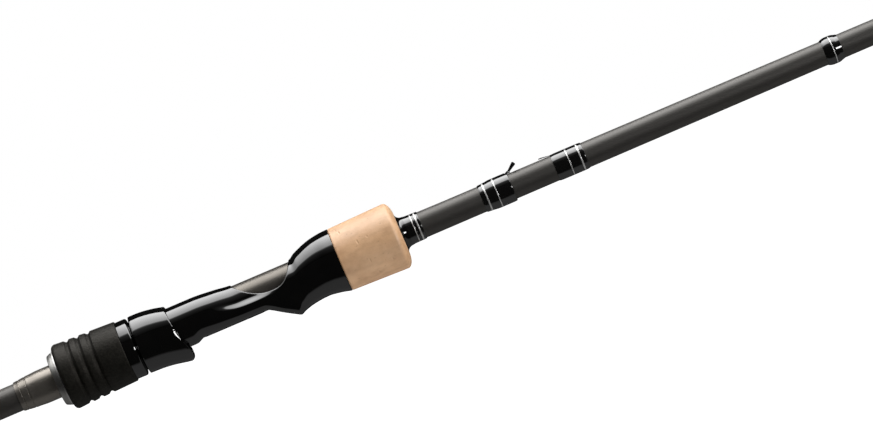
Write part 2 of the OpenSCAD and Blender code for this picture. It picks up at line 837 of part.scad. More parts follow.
// Wrap over one foot of guide k, on the side that faces the tip (1) or the butt (-1)
module guide_wrap(k, end) {
    x = guide_x(k);
    size = ring_sizes[k];
    a = x + end * (base_half(size) + 1.6);
    b = x + end * (base_half(size) + foot_len(size) + 3);
    thick = 1;
    rise = 2.5 * end;
    difference() {
        turned([[a, rod_r(a) + glue_gap], [a, rod_r(a) + 0.6], [a + rise, rod_r(a) + thick],
            [b - 2 * rise, rod_r(b) + 0.7 * thick], [b, rod_r(b) + 0.12], [b, rod_r(b) + glue_gap]]);
        guide_feet(k, 0.03);
        guide_leg_room(k);
    }
}

// Room that a wrap leaves for the lower ends of the legs
module guide_leg_room(k) {
    x = guide_x(k);
    size = ring_sizes[k];
    reach = base_half(size) + 2.4;
    translate([x - reach, -1.6, -rod_r(x) - 6])
        cube([2 * reach, 3.2, 6]);
}

module guide_7_wraps() {
    color(gloss_color)
        for (end = [-1, 1])
            guide_wrap(7, end);
}

module tip_guide_wraps() {
    color(gloss_color) {
        for (k = [1 : 6])
            guide_wrap(k, 1);
        guide_wrap(6, -1);
    }
}

// ---------------------------------------------------------------- tip-top

tip_size = 6;
tip_tube = [rod_len - 17, rod_len - 6];
tip_tube_r = 1.5;
tip_drop = seat_ring_r(tip_size) + band_wall + 0.6;
tip_ring_x = rod_len - ring_width / 2;

module tip_top_frame() {
    r_band = seat_ring_r(tip_size) + band_wall / 2;
    color(silver_color)
        difference() {
            union() {
                turned([[tip_tube[0], 0], [tip_tube[0], tip_tube_r], [tip_tube[1] - 0.6, tip_tube_r],
                    [tip_tube[1], tip_tube_r - 0.5], [tip_tube[1], 0]]);
                translate([tip_ring_x, 0, -tip_drop])
                    ring_band(tip_size);
                for (side = [-1, 1])
                    strut([tip_tube[1] - 4, side * 0.9, -0.9],
                        [tip_ring_x, side * r_band * sin(60), -tip_drop + r_band * cos(60)], 0.9);
                strut([tip_tube[1] - 1, 0, 0], [tip_ring_x, 0, -tip_drop + r_band], 0.9);
            }
            turned([[tip_tube[0] - 1, 0], [tip_tube[0] - 1, tip_r(tip_tube[0]) + glue_gap],
                [tip_x, tip_r(tip_x) + glue_gap], [tip_x, 0]]);
            translate([tip_ring_x - 3, 0, -tip_drop])
                rotate([0, 90, 0])
                    cylinder(h = 6, r = seat_ring_r(tip_size));
        }
}

module tip_top_ring() {
    ceramic_ring(tip_ring_x, tip_drop, tip_size);
}

// ---------------------------------------------------------------- nodes

butt_cap();
butt_ring();
rear_grip();
rear_check();
rear_wrap();
butt_blank();
rear_sleeve();
seat_barrel();
seat_arbors();
seat_body();
window_inlay();
foregrip();
front_check();
grip_wrap();
keeper_base();
keeper_pin();
keeper_tab();
keeper_wraps();
decor_wrap();
trim_bands();
ferrule_wrap();
guide_frame(7);  // guide_7_frame
guide_ring(7);  // guide_7_ring
guide_7_wraps();
hood_shell();
nut_core();
nut_ring();
nut_foam();
keeper_arm();
tip_blank();
guide_frame(6);  // guide_6_frame
guide_ring(6);  // guide_6_ring
guide_frame(5);  // guide_5_frame
guide_ring(5);  // guide_5_ring
guide_frame(4);  // guide_4_frame
guide_ring(4);  // guide_4_ring
guide_frame(3);  // guide_3_frame
guide_ring(3);  // guide_3_ring
guide_frame(2);  // guide_2_frame
guide_ring(2);  // guide_2_ring
guide_frame(1);  // guide_1_frame
guide_ring(1);  // guide_1_ring
tip_guide_wraps();
tip_top_frame();
tip_top_ring();
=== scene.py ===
"""Looks of a two-section spinning rod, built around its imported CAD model. Metres, +X from butt to tip.

Outlines are written in millimetres, as [x, radius] pairs, and turned into metres in new_object().
"""
import json
import math
import random

import bmesh
import bpy
import numpy as np
from mathutils import Matrix, Vector


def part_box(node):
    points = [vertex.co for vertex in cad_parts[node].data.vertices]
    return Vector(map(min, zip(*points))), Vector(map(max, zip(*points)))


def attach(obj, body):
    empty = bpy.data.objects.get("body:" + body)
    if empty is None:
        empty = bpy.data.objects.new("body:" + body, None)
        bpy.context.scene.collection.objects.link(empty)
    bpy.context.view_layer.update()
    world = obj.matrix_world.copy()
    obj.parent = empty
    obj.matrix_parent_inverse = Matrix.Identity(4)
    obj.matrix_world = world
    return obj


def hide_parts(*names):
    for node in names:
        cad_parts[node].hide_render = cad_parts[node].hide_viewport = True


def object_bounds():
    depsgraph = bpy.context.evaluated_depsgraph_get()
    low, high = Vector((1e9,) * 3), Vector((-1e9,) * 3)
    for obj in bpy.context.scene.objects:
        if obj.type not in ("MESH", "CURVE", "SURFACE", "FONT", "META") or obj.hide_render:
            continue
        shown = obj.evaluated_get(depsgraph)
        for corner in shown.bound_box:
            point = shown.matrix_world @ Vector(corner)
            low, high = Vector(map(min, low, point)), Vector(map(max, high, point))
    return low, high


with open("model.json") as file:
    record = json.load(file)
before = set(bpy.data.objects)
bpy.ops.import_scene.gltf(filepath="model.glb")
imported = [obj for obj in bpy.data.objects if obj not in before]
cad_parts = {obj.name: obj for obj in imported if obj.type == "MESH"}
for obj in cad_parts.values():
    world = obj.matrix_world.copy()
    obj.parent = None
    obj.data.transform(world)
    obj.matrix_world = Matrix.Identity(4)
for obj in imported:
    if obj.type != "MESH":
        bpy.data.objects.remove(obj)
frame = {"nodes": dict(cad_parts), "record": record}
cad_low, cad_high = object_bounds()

MM = 0.001
FINE = 0.00025          # voxel of the moulded parts, metres
SEED = 11               # of the cork's pits


# ------------------------------------------------------------------ places, from the CAD frame

def low(node):
    """Lowest corner of a CAD node, in millimetres."""
    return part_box(node)[0] / MM


def high(node):
    """Highest corner of a CAD node, in millimetres."""
    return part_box(node)[1] / MM


SEAT_X = low("nut_ring").x              # rear face of the lock nut
BLANK_START = low("butt_blank").x
FERRULE_X = high("butt_blank").x
GRIP_FRONT = high("foregrip").x
TAPER_X = GRIP_FRONT + 9.6              # where the blank's taper changes
R_BUTT = high("butt_blank").z           # blank radius at the butt
R_GRIP = 5.475                          # blank radius in front of the fore grip
R_FERRULE = 3.65                        # butt section's radius at the ferrule
GLUE = 0.05                             # gap between the blank and what sits on it


def butt_radius(x):
    """Outer radius of the butt section at x."""
    if x < TAPER_X:
        return R_BUTT + (R_GRIP - R_BUTT) * (x - BLANK_START) / (TAPER_X - BLANK_START)
    return R_GRIP + (R_FERRULE - R_GRIP) * (x - TAPER_X) / (FERRULE_X - TAPER_X)


# ------------------------------------------------------------------ camera, light and floor

def add_camera():
    """Long lens, square to the rod's side, rolled so that the rod climbs to the right."""
    roll = math.radians(23.12)
    target = Vector((SEAT_X + 166.5, 0, 2.06)) * MM
    lens, sensor = 200, 36
    seen_width = 0.35
    distance = seen_width * lens / sensor
    right = Vector((math.cos(roll), 0, -math.sin(roll)))
    up = Vector((math.sin(roll), 0, math.cos(roll)))
    back = Vector((0, -1, 0))
    camera = bpy.data.objects.new("camera", bpy.data.cameras.new("camera"))
    bpy.context.scene.collection.objects.link(camera)
    camera.data.lens, camera.data.sensor_width = lens, sensor
    camera.data.clip_start, camera.data.clip_end = 0.1, 200
    basis = Matrix((right, up, back)).transposed().to_4x4()
    camera.matrix_world = Matrix.Translation(target + back * distance) @ basis
    bpy.context.scene.camera = camera


def add_panel(name, place, facing, size, radiance):
    """Soft box that the camera doesn't see: place, the point it faces, (width, height), brightness."""
    data = bpy.data.lights.new(name, "AREA")
    data.shape = "RECTANGLE"
    data.size, data.size_y = size
    data.energy = radiance * math.pi * size[0] * size[1]
    panel = bpy.data.objects.new(name, data)
    bpy.context.scene.collection.objects.link(panel)
    panel.location = place
    panel.rotation_euler = (Vector(facing) - Vector(place)).to_track_quat("-Z", "Y").to_euler()
    panel.visible_camera = False
    return panel


def add_sheet(name, z, y_range, depth_stops, end_shade, strength):
    """Long glowing sheet above or below the rod; depth_stops are greys from its front to its back."""
    (front, back), (left, right) = y_range, (-1.3, cad_high.x + 1.3)
    corners = [(left, front, z), (right, front, z), (right, back, z), (left, back, z)]
    mesh = bpy.data.meshes.new(name)
    mesh.from_pydata(corners, [], [(0, 3, 2, 1) if z > 0 else (0, 1, 2, 3)])
    sheet = bpy.data.objects.new(name, mesh)
    bpy.context.scene.collection.objects.link(sheet)
    look = Finish(name, (0, 0, 0), 1.0)
    depth = look.ramp(look.axis_range(1, front, back), [(t, (grey,) * 3) for t, grey in depth_stops])
    fade = look.ramp(look.axis_range(0, -0.5, 0.25), [(0.0, (end_shade,) * 3), (1.0, (1.0,) * 3)])
    look.link(look.times(depth, fade), look.shader.inputs["Emission Color"])
    look.shader.inputs["Emission Strength"].default_value = strength
    mesh.materials.append(look.material)
    sheet.visible_camera = False
    return sheet


def add_lights():
    """A long box overhead, a dim one below that only shows in the gloss, fills and a side lamp."""
    middle = (cad_low.x + cad_high.x) / 2
    add_sheet("overhead_box", 1.3, (-2.0, 0.60),
              [(0.02, 0.0), (0.28, 0.012), (0.44, 0.028), (0.49, 0.12), (0.535, 0.53), (0.61, 0.62),
               (0.77, 0.87), (0.90, 1.0)], 0.3, 4.8)
    glow = add_sheet("floor_glow", -1.0, (-0.66, 2.25),
                     [(0.02, 0.0), (0.09, 1.0), (0.23, 1.0), (0.47, 0.75), (1.0, 0.4)], 1.0, 0.17)
    glow.visible_diffuse = False
    for name, z, radiance in (("bounce", -1.0, 0.8), ("sky", 1.2, 0.45)):
        fill = add_panel(name, (middle, 0, z), (middle, 0, 0), (cad_high.x + 6, 6), radiance)
        fill.visible_glossy = False
    x_focus = 0.4
    distance, side, rise = 2.4, math.radians(45), math.radians(-3)
    key_place = Vector((x_focus + distance * math.sin(side) * math.cos(rise),
                        -distance * math.cos(side) * math.cos(rise), distance * math.sin(rise)))
    add_panel("side_lamp", key_place, (x_focus, 0, 0), (1.7, 0.4), 11)


def add_world():
    """White to the camera, nearly black to reflections, so that only the boxes show in the gloss."""
    world = bpy.data.worlds.new("studio")
    bpy.context.scene.world = world
    world.use_nodes = True
    tree = world.node_tree
    tree.nodes.clear()
    out = tree.nodes.new("ShaderNodeOutputWorld")
    mix = tree.nodes.new("ShaderNodeMixShader")
    path = tree.nodes.new("ShaderNodeLightPath")
    dark = tree.nodes.new("ShaderNodeBackground")
    white = tree.nodes.new("ShaderNodeBackground")
    dark.inputs["Color"].default_value = (0.012, 0.012, 0.012, 1)
    white.inputs["Color"].default_value = (1, 1, 1, 1)
    tree.links.new(path.outputs["Is Camera Ray"], mix.inputs["Fac"])
    tree.links.new(dark.outputs[0], mix.inputs[1])
    tree.links.new(white.outputs[0], mix.inputs[2])
    tree.links.new(mix.outputs[0], out.inputs["Surface"])
    scene = bpy.context.scene
    scene.view_settings.view_transform = "Standard"
    scene.view_settings.look = "None"


def add_floor():
    """Pale floor just under the guides."""
    half = 40
    z = cad_low.z - 0.0005
    mesh = bpy.data.meshes.new("floor")
    mesh.from_pydata([(-half, -half, z), (half, -half, z), (half, half, z), (-half, half, z)],
                     [], [(0, 1, 2, 3)])
    floor = bpy.data.objects.new("floor", mesh)
    bpy.context.scene.collection.objects.link(floor)
    material = bpy.data.materials.new("pale_floor")
    material.use_nodes = True
    shader = material.node_tree.nodes["Principled BSDF"]
    shader.inputs["Base Color"].default_value = (0.85, 0.85, 0.85, 1)
    shader.inputs["Roughness"].default_value = 0.9
    shader.inputs["Emission Color"].default_value = (1, 1, 1, 1)
    shader.inputs["Emission Strength"].default_value = 1.1
    mesh.materials.append(material)
    floor.visible_glossy = False
    floor.visible_diffuse = False
    floor.visible_shadow = False


# ------------------------------------------------------------------ materials

class Finish:
    """One procedural material: a Principled shader with noise-driven colour, roughness and bump."""

    def __init__(self, name, base, roughness, metallic=0.0, ior=1.5, coat=0.0, coat_roughness=0.03,
                 sheen=0.0):
        self.material = bpy.data.materials.new(name)
        self.material.use_nodes = True
        self.tree = self.material.node_tree
        self.shader = self.tree.nodes["Principled BSDF"]
        settings = {"Base Color": (*base, 1), "Roughness": roughness, "Metallic": metallic, "IOR": ior,
                    "Coat Weight": coat, "Coat Roughness": coat_roughness, "Sheen Weight": sheen}
        for socket, value in settings.items():
            self.shader.inputs[socket].default_value = value
        self.place = self.tree.nodes.new("ShaderNodeTexCoord").outputs["Object"]

    def link(self, source, target):
        self.tree.links.new(source, target)

    def scaled(self, factors):
        """Object coordinates in metres, times factors."""
        node = self.tree.nodes.new("ShaderNodeVectorMath")
        node.operation = "MULTIPLY"
        node.inputs[1].default_value = factors
        self.link(self.place, node.inputs[0])
        return node.outputs[0]

    def axis_range(self, axis, start, end):
        """One object coordinate, from 0 at start to 1 at end (metres)."""
        split = self.tree.nodes.new("ShaderNodeSeparateXYZ")
        self.link(self.place, split.inputs[0])
        node = self.tree.nodes.new("ShaderNodeMapRange")
        node.inputs["From Min"].default_value = start
        node.inputs["From Max"].default_value = end
        self.link(split.outputs[axis], node.inputs["Value"])
        return node.outputs["Result"]

    def noise(self, scale, detail=2.0, stretch=(1, 1, 1), rough=0.5):
        """Noise from 0 to 1, with cells of 1/scale metres."""
        node = self.tree.nodes.new("ShaderNodeTexNoise")
        node.inputs["Scale"].default_value = 1.0
        node.inputs["Detail"].default_value = detail
        node.inputs["Roughness"].default_value = rough
        self.link(self.scaled([scale * s for s in stretch]), node.inputs["Vector"])
        return node.outputs["Fac"]

    def cells(self, scale, stretch=(1, 1, 1)):
        """Distance to the nearest point of a random scatter."""
        node = self.tree.nodes.new("ShaderNodeTexVoronoi")
        node.inputs["Scale"].default_value = 1.0
        self.link(self.scaled([scale * s for s in stretch]), node.inputs["Vector"])
        return node.outputs["Distance"]

    def lines(self, per_metre, distortion=0.0):
        """Stripes across X, from 0 to 1."""
        node = self.tree.nodes.new("ShaderNodeTexWave")
        node.wave_type = "BANDS"
        node.bands_direction = "X"
        node.inputs["Scale"].default_value = 1.0
        node.inputs["Distortion"].default_value = distortion
        turns = per_metre * math.pi / 10
        self.link(self.scaled((turns, turns, turns)), node.inputs["Vector"])
        return node.outputs["Fac"]

    def ramp(self, source, stops):
        """Colours by value: stops are (position, (r, g, b))."""
        node = self.tree.nodes.new("ShaderNodeValToRGB")
        elements = node.color_ramp.elements
        while len(elements) < len(stops):
            elements.new(0.5)
        for element, (position, colour) in zip(elements, stops):
            element.position = position
            element.color = (*colour, 1)
        self.link(source, node.inputs["Fac"])
        return node.outputs["Color"]

    def spread(self, source, low_value, high_value):
        """A 0 to 1 value moved to another range."""
        node = self.tree.nodes.new("ShaderNodeMapRange")
        node.inputs["To Min"].default_value = low_value
        node.inputs["To Max"].default_value = high_value
        self.link(source, node.inputs["Value"])
        return node.outputs["Result"]

    def times(self, first, second):
        """Product of two colours."""
        node = self.tree.nodes.new("ShaderNodeMix")
        node.data_type = "RGBA"
        node.blend_type = "MULTIPLY"
        node.inputs["Factor"].default_value = 1.0
        self.link(first, node.inputs["A"])
        self.link(second, node.inputs["B"])
        return node.outputs["Result"]

    def colour(self, source):
        self.link(source, self.shader.inputs["Base Color"])

    def roughness(self, source, low_value, high_value):
        self.link(self.spread(source, low_value, high_value), self.shader.inputs["Roughness"])

    def bump(self, source, height_mm, strength=1.0):
        """Adds relief; later calls add to earlier ones."""
        node = self.tree.nodes.new("ShaderNodeBump")
        node.inputs["Strength"].default_value = strength
        node.inputs["Distance"].default_value = height_mm * MM
        earlier = self.shader.inputs["Normal"].links
        if earlier:
            self.link(earlier[0].from_socket, node.inputs["Normal"])
        self.link(source, node.inputs["Height"])
        self.link(node.outputs["Normal"], self.shader.inputs["Normal"])


def gloss_black():
    """Moulded and lacquered black: nearly a mirror, with a little unevenness."""
    f = Finish("gloss_black", (0.001, 0.001, 0.001), 0.04, ior=2.0)
    f.colour(f.ramp(f.noise(180), [(0.3, (0.0008, 0.0008, 0.0007)), (0.7, (0.0016, 0.0015, 0.0014))]))
    f.roughness(f.noise(400), 0.02, 0.05)
    f.bump(f.noise(260, detail=1), 0.003)
    return f.material


def thread_gloss():
    """Black winding thread under clear epoxy."""
    f = Finish("thread_gloss", (0.002, 0.002, 0.002), 0.05, ior=2.15)
    f.colour(f.ramp(f.lines(4500), [(0.2, (0.0008, 0.0008, 0.0008)), (0.8, (0.004, 0.0038, 0.0035))]))
    f.roughness(f.noise(500), 0.04, 0.09)
    f.bump(f.noise(320, detail=1), 0.01)
    return f.material


def foam():
    """Closed-cell foam, ground to shape: matte, with fine open cells."""
    f = Finish("foam", (0.0035, 0.0035, 0.0027), 0.52, ior=1.36)
    f.shader.inputs["Specular Tint"].default_value = (1.0, 0.93, 0.84, 1)
    grain = f.noise(2600, detail=3)
    dust = f.ramp(f.noise(800, detail=4, rough=0.7), [(0.35, (0.5,) * 3), (0.65, (1.7,) * 3)])
    base = f.ramp(grain, [(0.3, (0.0022, 0.0022, 0.0016)), (0.7, (0.0052, 0.0050, 0.0038))])
    f.colour(f.times(dust, base))
    f.roughness(f.noise(900), 0.46, 0.58)
    f.bump(grain, 0.10, 0.8)
    f.bump(f.cells(1100), 0.08, 0.7)
    return f.material


def cork():
    """Sanded cork: warm mottling, faint streaks and small dark pits."""
    f = Finish("cork", (0.5, 0.305, 0.175), 0.6, ior=2.15, sheen=0.05)
    mottle = f.ramp(f.noise(210, detail=5, rough=0.62),
                    [(0.30, (0.575, 0.315, 0.144)), (0.50, (0.62, 0.356, 0.168)),
                     (0.72, (0.665, 0.394, 0.194))])
    patch = f.ramp(f.noise(70, detail=3, rough=0.6),
                   [(0.34, (0.90, 0.85, 0.78)), (0.55, (1, 1, 1)), (0.72, (1.03, 1.03, 1.03))])
    streak = f.ramp(f.noise(330, detail=3, stretch=(0.5, 1.2, 1.2)),
                    [(0.28, (0.86, 0.82, 0.77)), (0.5, (1, 1, 1)), (0.75, (1.03, 1.02, 1.0))])
    pits = f.ramp(f.cells(420, stretch=(0.7, 1.3, 1.3)),
                  [(0.03, (0.62, 0.53, 0.45)), (0.10, (0.93, 0.90, 0.87)), (0.17, (1, 1, 1))])
    f.colour(f.times(f.times(f.times(mottle, patch), streak), pits))
    f.roughness(f.noise(700), 0.48, 0.62)
    f.bump(f.noise(1600, detail=4), 0.06, 0.5)
    f.bump(f.spread(f.cells(420, stretch=(0.7, 1.3, 1.3)), 0, 1), 0.12, 0.35)
    return f.material


def blank_finish():
    """Sanded carbon blank under satin clear coat."""
    f = Finish("blank_satin", (0.01, 0.0092, 0.008), 0.48, ior=1.95)
    f.shader.inputs["Specular Tint"].default_value = (1.0, 0.965, 0.92, 1)
    f.colour(f.ramp(f.noise(900, detail=3, stretch=(0.25, 1, 1)),
                    [(0.3, (0.0075, 0.0069, 0.0058)), (0.7, (0.0115, 0.0106, 0.0090))]))
    f.roughness(f.noise(1400), 0.46, 0.51)
    f.bump(f.noise(2400, detail=2, stretch=(0.5, 1, 1)), 0.006, 0.5)
    return f.material


def gunmetal(name, shade, roughness):
    """Anodised grey metal, smooth, with faint clouding."""
    base = (0.160 * shade, 0.147 * shade, 0.130 * shade)
    f = Finish(name, base, roughness, metallic=0.88)
    f.colour(f.ramp(f.noise(160, stretch=(0.4, 1, 1)),
                    [(0.3, tuple(0.94 * c for c in base)), (0.7, tuple(1.06 * c for c in base))]))
    f.roughness(f.noise(400), roughness - 0.03, roughness + 0.03)
    f.bump(f.noise(2500), 0.001, 0.4)
    return f.material


def bright_metal(name, base, roughness):
    """Brushed or polished light metal."""
    f = Finish(name, base, roughness, metallic=1.0)
    shade = tuple(0.86 * c for c in base)
    f.colour(f.ramp(f.noise(1200, stretch=(4, 0.2, 0.2)), [(0.3, shade), (0.7, base)]))
    f.roughness(f.noise(1500, stretch=(5, 0.2, 0.2)), roughness * 0.8, roughness * 1.2)
    f.bump(f.noise(3000, stretch=(3, 0.1, 0.1)), 0.002, 0.6)
    return f.material


def silver_thread():
    """Metallic thread under epoxy."""
    f = Finish("silver_thread", (0.8, 0.8, 0.79), 0.42, metallic=0.85, coat=0.6)
    f.colour(f.ramp(f.noise(5000, stretch=(1, 0.6, 0.6)),
                    [(0.3, (0.6, 0.6, 0.59)), (0.7, (0.92, 0.92, 0.9))]))
    f.bump(f.noise(6000), 0.02, 0.6)
    return f.material


def ceramic():
    """Polished dark ceramic."""
    f = Finish("ceramic", (0.05, 0.055, 0.06), 0.06, ior=2.0)
    f.colour(f.ramp(f.noise(700), [(0.3, (0.04, 0.044, 0.05)), (0.7, (0.06, 0.066, 0.072))]))
    f.roughness(f.noise(800), 0.04, 0.09)
    return f.material


def black_metal():
    """Black plated metal of the hook keeper."""
    f = Finish("black_metal", (0.01, 0.01, 0.01), 0.25, metallic=0.6, ior=1.8)
    f.colour(f.ramp(f.noise(900), [(0.3, (0.008, 0.008, 0.008)), (0.7, (0.016, 0.0155, 0.015))]))
    f.roughness(f.noise(1600), 0.18, 0.32)
    return f.material


# ------------------------------------------------------------------ mesh helpers

def new_object(name, points_mm, faces, material, sharp_deg=35):
    """Mesh object from points in millimetres, with its faces turned outward and smooth shading."""
    mesh = bpy.data.meshes.new(name)
    mesh.from_pydata([tuple(c * MM for c in p) for p in points_mm], [], faces)
    shape = bmesh.new()
    shape.from_mesh(mesh)
    bmesh.ops.remove_doubles(shape, verts=shape.verts, dist=1e-7)
    bmesh.ops.recalc_face_normals(shape, faces=shape.faces)
    shape.to_mesh(mesh)
    shape.free()
    for face in mesh.polygons:
        face.use_smooth = True
    mesh.set_sharp_from_angle(angle=math.radians(sharp_deg))
    if material:
        mesh.materials.append(material)
    piece = bpy.data.objects.new(name, mesh)
    bpy.context.scene.collection.objects.link(piece)
    return piece


def turned(name, outline, material, sides=128, sweep=360.0, start=0.0, sharp_deg=35):
    """Solid of revolution about X from a closed outline of (x, r); angles are from +Y towards +Z."""
    closed = sweep >= 360
    steps = sides if closed else sides + 1
    count = len(outline)
    points = []
    for i in range(steps):
        a = math.radians(start + sweep * i / sides)
        points += [(x, r * math.cos(a), r * math.sin(a)) for x, r in outline]
    faces = []
    for i in range(sides):
        here, there = i * count, ((i + 1) % steps) * count
        for j in range(count):
            k = (j + 1) % count
            faces.append((here + j, here + k, there + k, there + j))
    if not closed:
        faces += [tuple(range(count)), tuple(sides * count + j for j in range(count))]
    return new_object(name, points, faces, material, sharp_deg)


def on_blank(outer):
    """Closed outline of a sleeve on the blank, from its outer outline, rear to front."""
    x0, x1 = outer[0][0], outer[-1][0]
    return outer + [(x1, butt_radius(x1) + GLUE), (x0, butt_radius(x0) + GLUE)]


def arc(x, r, rx, rr, a0, a1, steps=12):
    """Points on an ellipse's arc."""
    angles = [math.radians(a0 + (a1 - a0) * i / steps) for i in range(steps + 1)]
    return [(x + rx * math.cos(a), r + rr * math.sin(a)) for a in angles]


def ease(x0, r0, x1, r1, steps=16):
    """Smooth step between two outline points."""
    return [(x0 + (x1 - x0) * t, r0 + (r1 - r0) * (1 - math.cos(math.pi * t)) / 2)
            for t in (i / steps for i in range(steps + 1))]


def rounded(points, radius, steps=5):
    """Rounds the inner corners of an open outline with small arcs."""
    result = [points[0]]
    for before, corner, after in zip(points, points[1:], points[2:]):
        p, c, q = Vector(before), Vector(corner), Vector(after)
        reach = min(radius, (p - c).length / 2, (q - c).length / 2)
        a, b = c + (p - c).normalized() * reach, c + (q - c).normalized() * reach
        for i in range(steps + 1):
            t = i / steps
            result.append(tuple(a * (1 - t) ** 2 + c * 2 * t * (1 - t) + b * t ** 2))
    result.append(points[-1])
    return result


def curve_through(table):
    """Smooth monotone curve through (position, value) pairs."""
    xs, ys = np.array(table, float).T
    steps, slopes = np.diff(xs), np.diff(ys) / np.diff(xs)
    ends = np.zeros(len(xs))
    for i in range(1, len(xs) - 1):
        if slopes[i - 1] * slopes[i] > 0:
            w1, w2 = 2 * steps[i] + steps[i - 1], steps[i] + 2 * steps[i - 1]
            ends[i] = (w1 + w2) / (w1 / slopes[i - 1] + w2 / slopes[i])
    ends[0], ends[-1] = slopes[0], slopes[-1]

    def value(s):
        i = int(np.clip(np.searchsorted(xs, s) - 1, 0, len(steps) - 1))
        t = min(1.0, max(0.0, (s - xs[i]) / steps[i]))
        return float(ys[i] * (1 + 2 * t) * (1 - t) ** 2 + ys[i + 1] * t * t * (3 - 2 * t)
                     + steps[i] * (ends[i] * t * (1 - t) ** 2 - ends[i + 1] * t * t * (1 - t)))
    return value


def loft(name, rings):
    """Closed solid through rings of points, without a material yet."""
    n, last = len(rings[0]), len(rings) - 1
    points = [p for ring in rings for p in ring]
    faces = [(i * n + j, i * n + (j + 1) % n, (i + 1) * n + (j + 1) % n, (i + 1) * n + j)
             for i in range(last) for j in range(n)]
    faces += [tuple(range(n)), tuple(last * n + j for j in range(n))]
    return new_object(name, points, faces, None)


def side_prism(name, outline, half_width):
    """Prism along Y from side-view points (x, z)."""
    n = len(outline)
    points = [(x, y, z) for y in (-half_width, half_width) for x, z in outline]
    faces = [(j, (j + 1) % n, n + (j + 1) % n, n + j) for j in range(n)]
    faces += [tuple(range(n)), tuple(n + j for j in range(n))]
    return new_object(name, points, faces, None)


def box_piece(name, low_mm, high_mm):
    """Plain box between two corners, for cutting."""
    outline = [(low_mm[0], low_mm[2]), (high_mm[0], low_mm[2]), (high_mm[0], high_mm[2]),
               (low_mm[0], high_mm[2])]
    piece = side_prism(name, outline, (high_mm[1] - low_mm[1]) / 2)
    piece.data.transform(Matrix.Translation((0, (high_mm[1] + low_mm[1]) / 2 * MM, 0)))
    return piece


def applied(piece):
    """Replaces the piece's mesh by what its modifiers make of it."""
    graph = bpy.context.evaluated_depsgraph_get()
    mesh = bpy.data.meshes.new_from_object(piece.evaluated_get(graph))
    piece.modifiers.clear()
    piece.data = mesh
    return piece


def combine(piece, tool, operation):
    """Boolean of two pieces; the tool is used up."""
    modifier = piece.modifiers.new("combine", "BOOLEAN")
    modifier.operation = operation
    modifier.solver = "EXACT"
    modifier.object = tool
    applied(piece)
    bpy.data.objects.remove(tool)
    return piece


def moulded(piece, material, smoothing):
    """Gives a hard-edged solid the small round edges of a moulding."""
    remesh = piece.modifiers.new("remesh", "REMESH")
    remesh.mode = "VOXEL"
    remesh.voxel_size = FINE
    smooth = piece.modifiers.new("smooth", "SMOOTH")
    smooth.factor = 0.5
    smooth.iterations = smoothing
    applied(piece)
    piece.data.materials.clear()
    piece.data.materials.append(material)
    for face in piece.data.polygons:
        face.use_smooth = True
    return piece


def place(piece, body, slot, *nodes):
    """Fixes a piece to a body, in place of CAD nodes."""
    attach(piece, body)
    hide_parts(*nodes)


# ------------------------------------------------------------------ reel seat

MOUTH = (88.9, 100.9)       # where the fixed hood's skirts start, and its lip
WINDOW = (78.8, 94.0, 104.4)    # where the window starts, is lowest and ends
BED = 7.3                   # height of the bed that the reel foot lies on, below the axis
POCKET_HALF = 6.5


def seat_tables():
    """Crest, bed, half width, height of the widest line, pinch and squareness along the seat."""
    (mouth, lip), lip_z = MOUTH, -14.3
    rear = curve_through([(32, -8.9), (57.6, -8.9), (62, -BED), (mouth, -BED)])
    front = curve_through([(lip, lip_z), (103.4, -13.2), (107.4, -12.15), (111.9, -11.6), (114.5, -11.5),
                           (117, -11.8), (120, -12.35), (123.4, -13.2)])

    def bottom(s):
        if mouth < s < lip:
            return -BED + (lip_z + BED) * (s - mouth) / (lip - mouth)
        return rear(s) if s <= mouth else front(s)

    return {
        "top": curve_through([(32, 9.3), (62, 9.3), (72, 8.6), (79, 7.8), (104.4, 7.9), (107.2, 9.5),
                              (109.6, 10.5), (112, 11.4), (115, 12.25), (118, 12.8), (121, 13.1),
                              (123.4, 13.2)]),
        "bottom": bottom,
        "half": curve_through([(32, 9.3), (66, 9.3), (76, 9.9), (84, 10.3), (90, 10.3), (96, 10.7),
                               (103, 11.4), (110, 11.6), (116, 12.1), (120, 12.8), (123.4, 13.2)]),
        "mid": curve_through([(32, 0), (66, 0), (80, -2.2), (94, -2.4), (104, -1), (114, 0),
                              (123.4, 0)]),
        "pinch": curve_through([(32, 0), (66, 0), (76, 1.3), (84, 1.9), (90, 1.5), (96, 0.6),
                                (102, 0), (123.4, 0)]),
        "square": curve_through([(32, 2.2), (62, 2.2), (70, 2.6), (90, 3), (96, 4.5), (101, 5),
                                 (104, 3.2), (108, 2.3), (123.4, 2)]),
    }


SEAT = seat_tables()
SEAT_SIDES = 240
MELT = 0.13                 # what moulded() takes off a surface, added beforehand


def seat_section(s, grow=0.0):
    """Cross-section of the seat body at station s, as (x, y, z) in millimetres."""
    top, bottom, half = SEAT["top"](s) + grow, SEAT["bottom"](s) - grow, SEAT["half"](s) + grow
    mid, pinch, square = SEAT["mid"](s), SEAT["pinch"](s), SEAT["square"](s)
    ring = []
    for j in range(SEAT_SIDES):
        a = 2 * math.pi * (j + 0.5) / SEAT_SIDES
        n = square if math.sin(a) < 0 else 2
        reach = mid - bottom if math.sin(a) < 0 else top - mid
        z = mid + math.copysign(reach * abs(math.sin(a)) ** (2 / n), math.sin(a))
        t = min(1.0, max(0.0, (z - mid + 0.2) / 3.1))
        y = (half - pinch * t * t * (3 - 2 * t)) * math.copysign(abs(math.cos(a)) ** (2 / n), math.cos(a))
        ring.append((SEAT_X + s, y, z))
    return ring


def window_edge(s):
    """Height of the window's lower edge at station s."""
    (start, lowest, end), lowest_z, rise = WINDOW, -0.4, 8.4
    if s < lowest:
        return lowest_z + rise * ((lowest - s) / (lowest - start)) ** 2.15
    return lowest_z + rise * ((s - lowest) / (end - lowest)) ** 2.9


